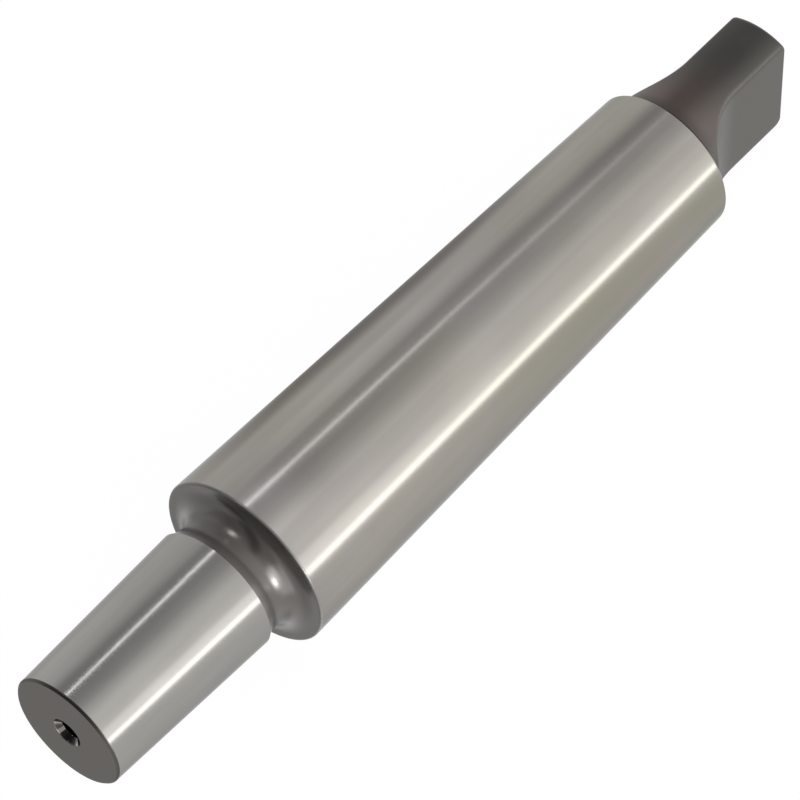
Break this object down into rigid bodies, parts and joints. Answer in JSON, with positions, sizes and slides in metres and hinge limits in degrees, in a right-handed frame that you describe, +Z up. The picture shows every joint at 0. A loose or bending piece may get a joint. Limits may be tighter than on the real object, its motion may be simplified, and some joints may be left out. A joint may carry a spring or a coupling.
{
  "type": "drill chuck arbor",
  "caption": "Solid steel drill chuck arbor: a ground self-holding taper shank with a flat drive tang behind it, and a relief neck and a short ground chuck taper in front.",
  "frame": {"origin": "on the axis, in the gauge plane of the taper shank, where its diameter is 23.825 mm", "axes": "+X along the axis, from the chuck taper to the tang; the tang's flats face -Y and +Y; +Z up, with the arbor lying on its side"},
  "size_m": [0.1287, 0.024, 0.024],
  "materials": {
    "ground_steel": "fine cylindrical grinding, with its lay around the axis",
    "dark_steel": "turned or milled, then hardened and left dark"
  },
  "bodies": {
    "root": {"chuck_taper": "ground_steel", "relief_neck": "dark_steel", "taper_shank": "ground_steel", "drive_tang": "dark_steel"}
  },
  "joints": []
}
